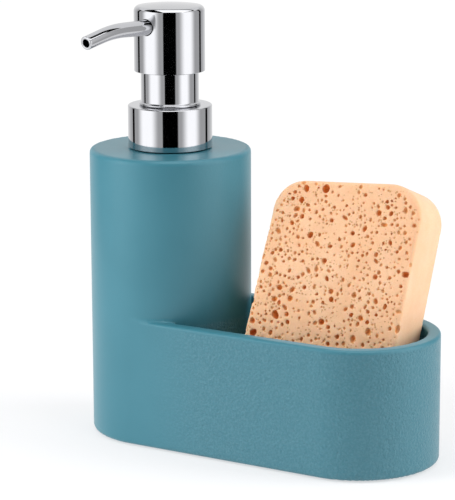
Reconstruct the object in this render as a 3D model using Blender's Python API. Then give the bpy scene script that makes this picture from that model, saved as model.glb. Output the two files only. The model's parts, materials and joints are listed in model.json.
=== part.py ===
"""Counter-top liquid dispenser: a ceramic bottle with a sponge trough, and a 28 mm lotion pump.

The frame's origin is where the pump's axis meets the resting plane. +X runs along the trough,
-Y is the front, +Z is up. Lengths below are in millimetres, and MM turns them into metres.
"""

import math

import bmesh
import bpy
from mathutils import Matrix, Vector

MM = 0.001
GAP = 0.3  # between pieces that touch on the real object

# ceramic casting
BOTTLE_R = 34.0
BOTTLE_TOP = 122.4
TROUGH_LENGTH = 90.1  # pump axis to the centre of the trough's round end
TROUGH_RIM = 54.6
TROUGH_WALL = 5.5
TROUGH_FLOOR = 7.0
UNDERSIDE = 0.5  # the casting stands this far clear, on its pad
FOOT_ROUND = 2.0
RIM_ROUND = 1.3
SHOULDER_ROUND = 1.9
BOTTLE_WALL = 4.7
BOTTLE_FLOOR = 6.5
BOTTLE_CEILING = 117.2
INSIDE_ROUND = 3.0
MOUTH_R = 13.6

# anti-slip pad, let into the underside
PAD_THICKNESS = 1.5
PAD_INSET = 5.0
PAD_RECESS_GAP = 0.4
PAD_RECESS_DEPTH = PAD_THICKNESS + GAP

# 28 mm screw finish
THREAD_PITCH = 4.233
THREAD_TURNS = 1.25
THREAD_START = 126.6
THREAD_ROOTED = 0.25  # how deep a ridge stands in the wall that carries it
NECK_RIDGE_WIDTHS = (2.4, 1.0)  # at its base and at its crest
CAP_RIDGE_WIDTHS = (1.9, 0.8)
NECK_BORE_R = 11.0
NECK_R = 12.45
NECK_THREAD_R = 13.5
NECK_TOP = 134.5
NECK_FLANGE_R = 15.0
NECK_FLANGE = 1.0
NECK_PLUG_BOTTOM = 112.5
CAP_THREAD_ROOT_R = 13.95
CAP_THREAD_CREST_R = 12.85
GASKET_R = 12.3

# closure, collar and sleeve
CAP_R = 16.4
CAP_BOTTOM = 124.9
CAP_CEILING = 137.8
CAP_TOP = 139.2
CHIMNEY_R = 11.1
CHIMNEY_BORE_R = 9.2
CHIMNEY_TOP = 150.0
COLLAR_R = 17.7
COLLAR_WALL = 0.9
COLLAR_BOTTOM = 122.9
COLLAR_TOP = 140.6
COLLAR_ROUND = 0.6
SLEEVE_R = 12.15
SLEEVE_WALL = 0.7
SLEEVE_TOP = 157.0
BEAD_R = 12.95
BEAD_HEIGHT = 1.2

# pump housing and what is inside it
FLANGE_R = 12.8
FLANGE_BOTTOM = 136.2
FLANGE_TOP = 137.4
HOUSING_CUP_R = 8.6
HOUSING_CUP_BORE_R = 7.4
HOUSING_CUP_BOTTOM = 127.0
HOUSING_TOP = 143.0
HOUSING_NECKING = 2.5  # height of the cone between cup and barrel
HOUSING_CUP_FLOOR = 3.0  # the cup's bore starts this far above the cup's bottom
BARREL_FOOT = 1.0
SOCKET_CONE = 3.0
VENT_BELOW_CUP = 3.5
BARREL_R = 6.3
BARREL_BORE_R = 5.0
BARREL_FLOOR = 97.0
SOCKET_R = 4.6
SOCKET_BORE_R = 2.65
SOCKET_BOTTOM = 80.0
SOCKET_DEPTH = 9.0
SEAT_R = 1.4
SEAT_TOP_R = 3.0
SEAT_BOTTOM = 90.5
SEAT_TOP = 92.6
BALL_R = 2.2
BALL_CENTRE = 92.6
CAGE_THICKNESS = 1.0
CAGE_HOLE_R = 1.6
BUSH_FLANGE = 1.0
TUBE_R = 2.35
TUBE_BORE_R = 1.7
TUBE_BOTTOM = 10.0
TUBE_SLANT = 30.0  # degrees
TUBE_SLANT_HEIGHT = 1.6
STEM_R = 3.5
STEM_LOW_R = 2.6
STEM_BORE_R = 2.0
STEM_BOTTOM = 118.6
STEM_TOP = 175.4
SHOULDER_R = 4.6
SHOULDER_BOTTOM = 127.8
SHOULDER_TOP = 130.0
GUIDE_BORE_R = 3.85
PORT_R = 0.6
PORT_HEIGHT = 120.2
PORT_REACH = 4.0  # of the port cutter, to each side of the axis
CENTRE_R = 0.4  # flat left at the axis of pieces that are closed there
SEAT_DISC_R = 4.3
SEAT_DISC = 2.0
SEAT_SPIGOT = 1.0
PISTON_REST = 0.1  # above the stem's lower end
PISTON_HEIGHT = 7.8
PISTON_LIP_GAP = 0.25
PISTON_LIP_SLOPE = 0.5
PISTON_LIP_LEVELS = (0.6, 1.7, 2.7)  # lip's start, its end, and the waist, from each end
PISTON_WAIST_R = 3.8
SPRING_R = 4.0
SPRING_WIRE_R = 0.4
SPRING_TURNS = 7
SPRING_CLOSED_RISE = 2.3  # wire radii that a closed end coil climbs

# head and spout
HEAD_R = 14.85
HEAD_WALL = 0.9
HEAD_BOTTOM = 154.9
HEAD_SIDE_TOP = 180.3
HEAD_TOP = 183.0
HEAD_ROUND = 2.4
CORE_R = 13.65
CORE_SKIRT_R = 12.55
CORE_SKIRT_BOTTOM = 155.5
CORE_DISC_BOTTOM = 169.5
CORE_TOP = 180.6
CORE_SOCKET_R = 5.6
CORE_SOCKET_BOTTOM = 158.0
CORE_CHAMFER = 1.5
CHAMFER_CLEARANCE = 0.1
HEAD_ROUND_DROP = 0.4  # the edge round's centre lies this far below the side's top
HEAD_ROUND_SWEEP = 68.0  # degrees before the dome takes over
DOME_STEPS = (0.8, 0.6, 0.4, 0.1)
SPOUT_CHANNEL_START = 2.0
CUT_REACH = 5.0  # how far the spout's cutters run past the head's side
SPOUT_AZIMUTH = 8.0  # degrees from -Y towards -X
SPOUT_START = 6.3  # distance of the spout's inner end from the axis
SPOUT_HEIGHT = 174.3  # of its centre line where it leaves the head
SPOUT_RISE = 1.7  # degrees
SPOUT_DROOP = 11.5  # degrees below level after the bend
SPOUT_BEND_AT = 35.5
SPOUT_BEND_R = 60.0
SPOUT_END_LENGTH = 16.2
SPOUT_ROOT_R = 3.36
SPOUT_TIP_R = 2.84
SPOUT_BORE_R = 1.75

# sponge
SPONGE_WIDTH = 65.9
SPONGE_HEIGHT = 101.2
SPONGE_THICKNESS = 29.0
SPONGE_CENTRE = (78.2, 4.85, 61.0)
SPONGE_TURN = 6.9  # degrees about Z
SPONGE_BACKWARD = 18.7
SPONGE_SIDEWAYS = 5.1
SPONGE_TOP_SKEW = 7.3  # degrees by which the cut top rises to the right
SPONGE_TAPER = 0.02
SPONGE_CORNER_R = 14.0
SPONGE_EDGE_ROUND = 2.0

TEAL = (0.095, 0.215, 0.265)
CHROME = (0.80, 0.80, 0.82)
WHITE = (0.80, 0.80, 0.78)
STEEL = (0.55, 0.55, 0.56)
FOAM = (0.08, 0.08, 0.09)
PEACH = (0.80, 0.50, 0.28)

AROUND_LARGE = 64
AROUND = 36
AROUND_SMALL = 24
AROUND_PORT = 14
TUBE_SIDES = 20
HALF_TURN = AROUND_LARGE // 2


def clear_scene():
    for obj in list(bpy.data.objects):
        bpy.data.objects.remove(obj)


def material(name, color, roughness, metallic=0.0):
    mat = bpy.data.materials.new(name)
    mat.use_nodes = True
    shader = mat.node_tree.nodes["Principled BSDF"]
    shader.inputs["Base Color"].default_value = (*color, 1.0)
    shader.inputs["Roughness"].default_value = roughness
    shader.inputs["Metallic"].default_value = metallic
    return mat


def add_loop(bm, points):
    """A closed loop through points in millimetres, rounded so that tangent shapes share exact points."""
    verts = [bm.verts.new(Vector([round(c, 6) * MM for c in p])) for p in points]
    return [bm.edges.new((verts[i], verts[(i + 1) % len(verts)])) for i in range(len(verts))]


def loft(name, loops, closed=False):
    """Bridges loops of equal length into one solid, with end caps unless it closes on itself."""
    bm = bmesh.new()
    rings = [add_loop(bm, points) for points in loops]
    pairs = list(zip(rings, rings[1:]))
    if closed:
        pairs.append((rings[-1], rings[0]))
    for low, high in pairs:
        join_rings(bm, low, high)
    if not closed:
        for ring in (rings[0], rings[-1]):
            bmesh.ops.contextual_create(bm, geom=ring)
    return finish_mesh(name, bm)


def join_rings(bm, low, high):
    """Quads between two loops whose vertices are in step."""
    lower = [edge.verts[0] for edge in low]
    upper = [edge.verts[0] for edge in high]
    for i in range(len(lower)):
        j = (i + 1) % len(lower)
        bm.faces.new((lower[i], lower[j], upper[j], upper[i]))


def finish_mesh(name, bm):
    bmesh.ops.recalc_face_normals(bm, faces=bm.faces)
    mesh = bpy.data.meshes.new(name)
    bm.to_mesh(mesh)
    bm.free()
    mesh.shade_smooth()
    mesh.set_sharp_from_angle(angle=math.radians(35))
    obj = bpy.data.objects.new(name, mesh)
    bpy.context.scene.collection.objects.link(obj)
    return obj


def circle(radius, height, steps):
    """Points of a level circle about the Z axis."""
    return [
        (radius * math.cos(a), radius * math.sin(a), height)
        for a in (2 * math.pi * i / steps for i in range(steps))
    ]


def turned(name, profile, steps, closed=True):
    """A solid turned about Z from (radius, height) points; an open profile is capped at both ends."""
    return loft(name, [circle(r, z, steps) for r, z in profile], closed)


def arc(centre_r, centre_z, radius, start, end, steps):
    """Profile points on an arc, with its angles in degrees."""
    return [
        (centre_r + radius * math.cos(a), centre_z + radius * math.sin(a))
        for a in (math.radians(start + (end - start) * i / steps) for i in range(steps + 1))
    ]


def trough_outline(inset, height, start_x):
    """A flat left end at start_x, straight sides, and a round right end."""
    radius = BOTTLE_R - inset
    points = [
        (
            TROUGH_LENGTH + radius * math.cos(a),
            radius * math.sin(a),
            height,
        )
        for a in (math.radians(-90 + 180 * i / HALF_TURN) for i in range(HALF_TURN + 1))
    ]
    return points + [(start_x, radius, height), (start_x, -radius, height)]


def stadium(inset, height):
    """The whole footprint's outline, inset evenly."""
    radius = BOTTLE_R - inset
    points = []
    for centre_x, start in ((TROUGH_LENGTH, -90), (0.0, 90)):
        for i in range(HALF_TURN + 1):
            a = math.radians(start + 180 * i / HALF_TURN)
            points.append((centre_x + radius * math.cos(a), radius * math.sin(a), height))
    return points


def as_tool(obj):
    """Marks a cutter or operand that isn't a piece of the object."""
    obj.hide_render = True
    obj.display_type = "WIRE"
    return obj


def boolean(obj, tool, operation):
    modifier = obj.modifiers.new(tool.name, "BOOLEAN")
    modifier.operation = operation
    modifier.solver = "EXACT"
    modifier.object = as_tool(tool)


def trough_block():
    """The trough's outside, from inside the bottle to its round end, with its hollow cut."""
    foot = arc(FOOT_ROUND, UNDERSIDE + FOOT_ROUND, FOOT_ROUND, 270, 180, 3)
    rim = arc(RIM_ROUND, TROUGH_RIM - RIM_ROUND, RIM_ROUND, 180, 90, 3)
    block = loft("trough_block", [trough_outline(inset, z, 0.0) for inset, z in foot + rim])
    floor = arc(INSIDE_ROUND, TROUGH_FLOOR + INSIDE_ROUND, INSIDE_ROUND, 270, 180, 3)
    lip = arc(-RIM_ROUND, TROUGH_RIM - RIM_ROUND, RIM_ROUND, 0, 90, 3)
    levels = floor + lip + [(-RIM_ROUND, TROUGH_RIM + 2)]
    hollow_start = BOTTLE_R * 0.35  # well inside the bottle's wall
    hollow = loft(
        "trough_hollow",
        [trough_outline(TROUGH_WALL + inset, z, hollow_start) for inset, z in levels],
    )
    boolean(block, hollow, "DIFFERENCE")
    return block


def bottle_hollow():
    radius = BOTTLE_R - BOTTLE_WALL
    inner = radius - INSIDE_ROUND
    profile = arc(inner, BOTTLE_FLOOR + INSIDE_ROUND, INSIDE_ROUND, 270, 360, 3)
    profile += arc(inner, BOTTLE_CEILING - INSIDE_ROUND, INSIDE_ROUND, 0, 90, 3)
    profile += [(MOUTH_R, BOTTLE_CEILING), (MOUTH_R, BOTTLE_TOP + 2)]
    return turned("bottle_hollow", profile, AROUND_LARGE, closed=False)


def ceramic_body(mat):
    """Bottle and trough as one casting."""
    foot = arc(BOTTLE_R - FOOT_ROUND, UNDERSIDE + FOOT_ROUND, FOOT_ROUND, 270, 360, 3)
    shoulder = arc(BOTTLE_R - SHOULDER_ROUND, BOTTLE_TOP - SHOULDER_ROUND, SHOULDER_ROUND, 0, 90, 4)
    body = turned("ceramic_body", foot + shoulder, AROUND_LARGE, closed=False)
    boolean(body, trough_block(), "UNION")
    boolean(body, bottle_hollow(), "DIFFERENCE")
    recess_inset = PAD_INSET - PAD_RECESS_GAP
    recess_levels = (-1.0, PAD_RECESS_DEPTH)
    recess = loft("pad_recess", [stadium(recess_inset, z) for z in recess_levels])
    boolean(body, recess, "DIFFERENCE")
    body.data.materials.append(mat)
    return body


def base_pad(mat):
    pad = loft("base_pad", [stadium(PAD_INSET, z) for z in (0.0, PAD_THICKNESS)])
    pad.data.materials.append(mat)
    return pad


def helix_ridge(name, root_r, crest_r, start, widths):
    """A thread's ridge: a trapezoid swept along a right-handed helix."""
    base_width, crest_width = widths
    steps = round(AROUND * THREAD_TURNS)
    loops = []
    for i in range(steps + 1):
        turn = THREAD_TURNS * i / steps
        a = 2 * math.pi * turn
        z = start + THREAD_PITCH * turn
        section = (
            (root_r, z - base_width / 2),
            (crest_r, z - crest_width / 2),
            (crest_r, z + crest_width / 2),
            (root_r, z + base_width / 2),
        )
        loops.append([(r * math.cos(a), r * math.sin(a), h) for r, h in section])
    return loft(name, loops)


def neck_insert(mat):
    """Threaded neck, glued into the ceramic mouth by its plug and flange."""
    flange_bottom = BOTTLE_TOP + GAP
    flange_top = flange_bottom + NECK_FLANGE
    profile = [
        (NECK_BORE_R, NECK_PLUG_BOTTOM),
        (MOUTH_R - GAP, NECK_PLUG_BOTTOM),
        (MOUTH_R - GAP, flange_bottom),
        (NECK_FLANGE_R, flange_bottom),
        (NECK_FLANGE_R, flange_top),
        (NECK_R, flange_top),
        (NECK_R, NECK_TOP),
        (NECK_BORE_R, NECK_TOP),
    ]
    neck = turned("neck_insert", profile, AROUND)
    root_r = NECK_R - THREAD_ROOTED
    ridge = helix_ridge("neck_ridge", root_r, NECK_THREAD_R, THREAD_START, NECK_RIDGE_WIDTHS)
    boolean(neck, ridge, "UNION")
    neck.data.materials.append(mat)
    return neck


def closure_cap(mat):
    """Screw closure with the chimney that carries collar and sleeve."""
    profile = [
        (CAP_THREAD_ROOT_R, CAP_BOTTOM),
        (CAP_R, CAP_BOTTOM),
        (CAP_R, CAP_TOP),
        (CHIMNEY_R, CAP_TOP),
        (CHIMNEY_R, CHIMNEY_TOP),
        (CHIMNEY_BORE_R, CHIMNEY_TOP),
        (CHIMNEY_BORE_R, CAP_CEILING),
        (CAP_THREAD_ROOT_R, CAP_CEILING),
    ]
    cap = turned("closure_cap", profile, AROUND)
    start = THREAD_START + THREAD_PITCH / 2
    root_r = CAP_THREAD_ROOT_R + THREAD_ROOTED
    ridge = helix_ridge("cap_ridge", root_r, CAP_THREAD_CREST_R, start, CAP_RIDGE_WIDTHS)
    boolean(cap, ridge, "UNION")
    cap.data.materials.append(mat)
    return cap


def collar_shell(mat):
    inner_r = COLLAR_R - COLLAR_WALL
    hole_r = CHIMNEY_R + GAP
    profile = [(inner_r, COLLAR_BOTTOM), (COLLAR_R, COLLAR_BOTTOM)]
    profile += arc(COLLAR_R - COLLAR_ROUND, COLLAR_TOP - COLLAR_ROUND, COLLAR_ROUND, 0, 90, 3)
    profile += [(hole_r, COLLAR_TOP), (hole_r, COLLAR_TOP - COLLAR_WALL), (inner_r, COLLAR_TOP - COLLAR_WALL)]
    collar = turned("collar_shell", profile, AROUND)
    collar.data.materials.append(mat)
    return collar


def sleeve(mat):
    bottom = COLLAR_TOP + GAP
    inner_r = SLEEVE_R - SLEEVE_WALL
    bead = arc(BEAD_R - BEAD_HEIGHT / 2, bottom + BEAD_HEIGHT / 2, BEAD_HEIGHT / 2, -90, 60, 4)
    profile = [(inner_r, bottom)] + bead
    profile += [(SLEEVE_R, bottom + BEAD_HEIGHT * 1.2), (SLEEVE_R, SLEEVE_TOP), (inner_r, SLEEVE_TOP)]
    tube = turned("sleeve", profile, AROUND)
    tube.data.materials.append(mat)
    return tube


def neck_gasket(mat):
    low = NECK_TOP + GAP
    high = FLANGE_BOTTOM - GAP
    inner_r = HOUSING_CUP_R + GAP
    profile = [(inner_r, low), (GASKET_R, low), (GASKET_R, high), (inner_r, high)]
    ring = turned("neck_gasket", profile, AROUND)
    ring.data.materials.append(mat)
    return ring


def pump_housing(mat):
    """Flanged cup, piston barrel, ball seat and dip-tube socket, turned as one moulding."""
    socket_top = SOCKET_BOTTOM + SOCKET_DEPTH
    profile = [
        (HOUSING_CUP_R, HOUSING_TOP),
        (HOUSING_CUP_R, FLANGE_TOP),
        (FLANGE_R, FLANGE_TOP),
        (FLANGE_R, FLANGE_BOTTOM),
        (HOUSING_CUP_R, FLANGE_BOTTOM),
        (HOUSING_CUP_R, HOUSING_CUP_BOTTOM),
        (BARREL_R, HOUSING_CUP_BOTTOM - HOUSING_NECKING),
        (BARREL_R, BARREL_FLOOR - BARREL_FOOT),
        (SOCKET_R, BARREL_FLOOR - BARREL_FOOT - SOCKET_CONE),
        (SOCKET_R, SOCKET_BOTTOM),
        (SOCKET_BORE_R, SOCKET_BOTTOM),
        (SOCKET_BORE_R, socket_top),
        (SEAT_R, socket_top),
        (SEAT_R, SEAT_BOTTOM),
        (SEAT_TOP_R, SEAT_TOP),
        (SEAT_TOP_R, BARREL_FLOOR),
        (BARREL_BORE_R, BARREL_FLOOR),
        (BARREL_BORE_R, HOUSING_CUP_BOTTOM + HOUSING_CUP_FLOOR - HOUSING_NECKING),
        (HOUSING_CUP_BORE_R, HOUSING_CUP_BOTTOM + HOUSING_CUP_FLOOR),
        (HOUSING_CUP_BORE_R, HOUSING_TOP),
    ]
    housing = turned("pump_housing", profile, AROUND)
    vent_profile = [(PORT_R, PORT_REACH), (PORT_R, BARREL_R + PORT_REACH)]
    vent = turned("housing_vent", vent_profile, AROUND_PORT, closed=False)
    vent.rotation_euler = (0.0, math.radians(90), 0.0)
    vent.location = (0.0, 0.0, (HOUSING_CUP_BOTTOM - VENT_BELOW_CUP) * MM)
    boolean(housing, vent, "DIFFERENCE")
    housing.data.materials.append(mat)
    return housing


def housing_cap(mat):
    """Guide bush: closes the housing, stops the stem's shoulder and centres the stem."""
    flange_bottom = HOUSING_TOP + GAP
    body_r = HOUSING_CUP_BORE_R - GAP
    bottom = SHOULDER_TOP + GAP
    profile = [
        (GUIDE_BORE_R, bottom),
        (body_r, bottom),
        (body_r, flange_bottom),
        (HOUSING_CUP_R, flange_bottom),
        (HOUSING_CUP_R, flange_bottom + BUSH_FLANGE),
        (GUIDE_BORE_R, flange_bottom + BUSH_FLANGE),
    ]
    bush = turned("housing_cap", profile, AROUND_SMALL)
    bush.data.materials.append(mat)
    return bush


def dip_tube(mat):
    """Soft tube, its foot cut to a slight slant so that it can't seal on the floor."""
    top = SOCKET_BOTTOM + SOCKET_DEPTH - GAP
    profile = [(TUBE_BORE_R, TUBE_BOTTOM), (TUBE_R, TUBE_BOTTOM), (TUBE_R, top), (TUBE_BORE_R, top)]
    tube = turned("dip_tube", profile, TUBE_SIDES)
    slant_size = TUBE_R * 2.5
    slant = turned("tube_slant", [(slant_size, -slant_size), (slant_size, 0.0)], AROUND_PORT, closed=False)
    slant.rotation_euler = (math.radians(TUBE_SLANT), 0.0, 0.0)
    slant.location = Vector((0.0, 0.0, TUBE_BOTTOM + TUBE_SLANT_HEIGHT)) * MM
    boolean(tube, slant, "DIFFERENCE")
    tube.data.materials.append(mat)
    return tube


def inlet_ball(mat):
    pole = 10  # degrees of latitude left to each flat end
    profile = arc(0.0, 0.0, BALL_R, pole - 90, 90 - pole, 8)
    ball = turned("inlet_ball", profile, AROUND_PORT, closed=False)
    ball.location = (0.0, 0.0, BALL_CENTRE * MM)
    ball.data.materials.append(mat)
    return ball


def ball_cage(mat):
    """Retainer over the ball, held down by the spring."""
    low = BARREL_FLOOR + GAP
    high = low + CAGE_THICKNESS
    outer_r = BARREL_BORE_R - GAP
    profile = [(CAGE_HOLE_R, low), (outer_r, low), (outer_r, high), (CAGE_HOLE_R, high)]
    cage = turned("ball_cage", profile, AROUND_SMALL)
    cage.data.materials.append(mat)
    return cage


def return_spring(mat):
    """Coil spring with a closed coil at each end."""
    per_turn = 12
    sides = 6
    low = BARREL_FLOOR + 2 * GAP + CAGE_THICKNESS + SPRING_WIRE_R
    high = STEM_BOTTOM - 2 * GAP - SEAT_DISC - SPRING_WIRE_R
    closed_rise = SPRING_CLOSED_RISE * SPRING_WIRE_R
    pitch = (high - low - 2 * closed_rise) / (SPRING_TURNS - 2)
    loops = []
    for i in range(per_turn * SPRING_TURNS + 1):
        turn = i / per_turn
        middle = min(max(turn - 1.0, 0.0), SPRING_TURNS - 2.0)
        z = low + pitch * middle + closed_rise * (turn - middle)
        a = 2 * math.pi * turn
        loop = []
        for k in range(sides):
            b = 2 * math.pi * k / sides
            r = SPRING_R + SPRING_WIRE_R * math.cos(b)
            loop.append((r * math.cos(a), r * math.sin(a), z + SPRING_WIRE_R * math.sin(b)))
        loops.append(loop)
    spring = loft("return_spring", loops)
    spring.data.materials.append(mat)
    return spring


def piston_seat(mat):
    """Plug in the stem's lower end; its disc is the piston's valve seat."""
    disc_top = STEM_BOTTOM - GAP
    disc_bottom = disc_top - SEAT_DISC
    spigot_r = STEM_BORE_R - GAP
    spigot_top = disc_top + SEAT_SPIGOT
    profile = [(CENTRE_R, disc_bottom), (SEAT_DISC_R, disc_bottom), (SEAT_DISC_R, disc_top)]
    profile += [(spigot_r, disc_top), (spigot_r, spigot_top), (CENTRE_R, spigot_top)]
    seat = turned("piston_seat", profile, AROUND_SMALL, closed=False)
    seat.data.materials.append(mat)
    return seat


def piston(mat):
    """Double-lipped piston, free to slip a little along the stem."""
    low = STEM_BOTTOM + PISTON_REST
    high = low + PISTON_HEIGHT
    lip_r = BARREL_BORE_R - PISTON_LIP_GAP
    bore_r = STEM_LOW_R + GAP
    lip_start, lip_end, waist = PISTON_LIP_LEVELS
    profile = [
        (bore_r, low),
        (lip_r - PISTON_LIP_SLOPE, low),
        (lip_r, low + lip_start),
        (lip_r, low + lip_end),
        (PISTON_WAIST_R, low + waist),
        (PISTON_WAIST_R, high - waist),
        (lip_r, high - lip_end),
        (lip_r, high - lip_start),
        (lip_r - PISTON_LIP_SLOPE, high),
        (bore_r, high),
    ]
    ring = turned("piston", profile, AROUND_SMALL)
    ring.data.materials.append(mat)
    return ring


def stem(mat):
    """Hollow stem: a thin lower end for the piston, a stop shoulder, and a long upper tube."""
    profile = [
        (STEM_BORE_R, STEM_BOTTOM),
        (STEM_LOW_R, STEM_BOTTOM),
        (STEM_LOW_R, SHOULDER_BOTTOM),
        (SHOULDER_R, SHOULDER_BOTTOM),
        (SHOULDER_R, SHOULDER_TOP),
        (STEM_R, SHOULDER_TOP),
        (STEM_R, STEM_TOP),
        (STEM_BORE_R, STEM_TOP),
    ]
    tube = turned("stem", profile, AROUND_SMALL)
    ports = turned("stem_ports", [(PORT_R, -PORT_REACH), (PORT_R, PORT_REACH)], AROUND_PORT, closed=False)
    ports.rotation_euler = (0.0, math.radians(90), 0.0)
    ports.location = (0.0, 0.0, PORT_HEIGHT * MM)
    boolean(tube, ports, "DIFFERENCE")
    tube.data.materials.append(mat)
    return tube


def spout_centre_line():
    """Distance from the axis and height along the spout: a straight run, a bend, a straight end."""
    rise = math.radians(SPOUT_RISE)
    droop = math.radians(-SPOUT_DROOP)
    corner_z = SPOUT_HEIGHT + math.tan(rise) * (SPOUT_BEND_AT - HEAD_R)
    tangent = SPOUT_BEND_R * math.tan((rise - droop) / 2)
    bend_start = Vector((SPOUT_BEND_AT - tangent * math.cos(rise), corner_z - tangent * math.sin(rise)))
    centre = bend_start + SPOUT_BEND_R * Vector((math.sin(rise), -math.cos(rise)))
    start = Vector((SPOUT_START, SPOUT_HEIGHT + math.tan(rise) * (SPOUT_START - HEAD_R)))
    points = [start.lerp(bend_start, i / 4) for i in range(4)]
    directions = [rise] * 4
    for i in range(6):
        slope = rise + (droop - rise) * i / 5
        points.append(centre + SPOUT_BEND_R * Vector((-math.sin(slope), math.cos(slope))))
        directions.append(slope)
    corner = Vector((SPOUT_BEND_AT, corner_z))
    end = corner + SPOUT_END_LENGTH * Vector((math.cos(droop), math.sin(droop)))
    last = points[-1]
    points += [last.lerp(end, i / 3) for i in (1, 2, 3)]
    directions += [droop] * 3
    return points, directions


def spout_direction():
    """Turns a point of the (distance, across, height) plane to the spout's azimuth."""
    return Matrix.Rotation(math.radians(-90 - SPOUT_AZIMUTH), 3, "Z")


def spout_tube(mat):
    """Bent tube whose wall thins slightly towards the tip."""
    points, directions = spout_centre_line()
    lengths = [0.0]
    for a, b in zip(points, points[1:]):
        lengths.append(lengths[-1] + (b - a).length)
    turn = spout_direction()

    def ring(point, slope, radius):
        loop = []
        for k in range(TUBE_SIDES):
            a = 2 * math.pi * k / TUBE_SIDES
            up = radius * math.cos(a)
            offset = Vector((-math.sin(slope) * up, radius * math.sin(a), math.cos(slope) * up))
            loop.append(turn @ (Vector((point.x, 0.0, point.y)) + offset))
        return loop

    outer = []
    for point, slope, length in zip(points, directions, lengths):
        share = length / lengths[-1]
        outer.append(ring(point, slope, SPOUT_ROOT_R + (SPOUT_TIP_R - SPOUT_ROOT_R) * share))
    inner = [ring(point, slope, SPOUT_BORE_R) for point, slope in zip(points, directions)]
    tube = loft("spout_tube", outer + inner[::-1], closed=True)
    tube.data.materials.append(mat)
    return tube


def spout_bore(name, radius, start, end):
    """A straight cutter along the spout's root, from start to end away from the axis."""
    cutter = turned(name, [(radius, start), (radius, end)], AROUND_SMALL, closed=False)
    rise = math.radians(SPOUT_RISE)
    axis_height = SPOUT_HEIGHT - math.tan(rise) * HEAD_R
    level = Matrix.Rotation(math.radians(90) - rise, 4, "Y")
    turn = spout_direction().to_4x4()
    cutter.matrix_world = Matrix.Translation((0.0, 0.0, axis_height * MM)) @ turn @ level
    return cutter


def actuator_core(mat):
    """Inside of the head: a skirt that slides over the sleeve, a stem socket and a spout socket."""
    stem_bore_r = STEM_R + GAP
    profile = [
        (CENTRE_R, CORE_TOP),
        (CORE_R - CORE_CHAMFER, CORE_TOP),
        (CORE_R, CORE_TOP - CORE_CHAMFER),
        (CORE_R, CORE_SKIRT_BOTTOM),
        (CORE_SKIRT_R, CORE_SKIRT_BOTTOM),
        (CORE_SKIRT_R, CORE_DISC_BOTTOM),
        (CORE_SOCKET_R, CORE_DISC_BOTTOM),
        (CORE_SOCKET_R, CORE_SOCKET_BOTTOM),
        (stem_bore_r, CORE_SOCKET_BOTTOM),
        (stem_bore_r, STEM_TOP + GAP),
        (CENTRE_R, STEM_TOP + GAP),
    ]
    core = turned("actuator_core", profile, AROUND, closed=False)
    socket = spout_bore("spout_socket", SPOUT_ROOT_R + GAP, SPOUT_START - GAP, HEAD_R + CUT_REACH)
    boolean(core, socket, "DIFFERENCE")
    channel = spout_bore("spout_channel", SPOUT_BORE_R, SPOUT_CHANNEL_START, SPOUT_START + 1)
    boolean(core, channel, "DIFFERENCE")
    core.data.materials.append(mat)
    return core


def head_shell(mat):
    """Chromed cover, closed by a low dome."""
    inner_r = HEAD_R - HEAD_WALL
    round_centre = HEAD_SIDE_TOP - HEAD_ROUND_DROP
    edge = arc(HEAD_R - HEAD_ROUND, round_centre, HEAD_ROUND, 0, HEAD_ROUND_SWEEP, 4)
    edge_r, edge_z = edge[-1]
    dome = [(edge_r * s, HEAD_TOP - (HEAD_TOP - edge_z) * s * s) for s in DOME_STEPS]
    profile = dome[::-1] + edge[::-1]
    profile += [(HEAD_R, HEAD_BOTTOM), (inner_r, HEAD_BOTTOM)]
    profile.append((inner_r, CORE_TOP + CHAMFER_CLEARANCE - CORE_CHAMFER))
    profile += [(inner_r - CORE_CHAMFER, CORE_TOP + GAP), (dome[-1][0], CORE_TOP + GAP)]
    shell = turned("head_shell", profile, AROUND, closed=False)
    opening = spout_bore("spout_opening", SPOUT_ROOT_R + GAP, HEAD_R - CUT_REACH, HEAD_R + CUT_REACH)
    boolean(shell, opening, "DIFFERENCE")
    shell.data.materials.append(mat)
    return shell


def sponge_outline(inset):
    """Rounded four-sided outline in the sponge's own XZ plane, its top cut askew."""
    half_h = SPONGE_HEIGHT / 2
    top_half = SPONGE_WIDTH / 2 * (1 - SPONGE_TAPER)
    low_half = SPONGE_WIDTH / 2 * (1 + SPONGE_TAPER)
    skew = math.tan(math.radians(SPONGE_TOP_SKEW)) * top_half
    corners = [
        Vector((low_half, -half_h)),
        Vector((top_half, half_h + skew)),
        Vector((-top_half, half_h - skew)),
        Vector((-low_half, -half_h)),
    ]
    points = []
    for i, corner in enumerate(corners):
        before = (corners[i - 1] - corner).normalized()
        after = (corners[(i + 1) % 4] - corner).normalized()
        half_angle = before.angle(after) / 2
        middle = corner + (before + after).normalized() * (SPONGE_CORNER_R / math.sin(half_angle))
        first = corner + before * (SPONGE_CORNER_R / math.tan(half_angle)) - middle
        sweep = math.pi - 2 * half_angle
        for k in range(9):
            spoke = Matrix.Rotation(sweep * k / 8, 2) @ first
            points.append(middle + spoke * (1 - inset / SPONGE_CORNER_R))
    return points


def sponge(mat):
    half = SPONGE_THICKNESS / 2
    edge = SPONGE_EDGE_ROUND
    levels = [(edge, -half), (edge * 0.3, -half + edge * 0.3), (0.0, -half + edge)]
    levels += [(inset, -y) for inset, y in reversed(levels)]
    loops = [[(p.x, y, p.y) for p in sponge_outline(inset)] for inset, y in levels]
    block = loft("sponge", loops)
    block.data.materials.append(mat)
    holder = bpy.data.objects.new("sponge_place", None)
    bpy.context.scene.collection.objects.link(holder)
    holder.rotation_mode = "YXZ"
    tilt = (-SPONGE_BACKWARD, SPONGE_SIDEWAYS, SPONGE_TURN)
    holder.rotation_euler = [math.radians(a) for a in tilt]
    holder.location = Vector(SPONGE_CENTRE) * MM
    block.parent = holder
    return block


def joint_empty(name, parent=None):
    """A guide on the pump's axis that carries the pieces of one moving body."""
    empty = bpy.data.objects.new(name, None)
    bpy.context.scene.collection.objects.link(empty)
    empty.parent = parent
    return empty


def carry(empty, pieces):
    for piece in pieces:
        piece.parent = empty


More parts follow.
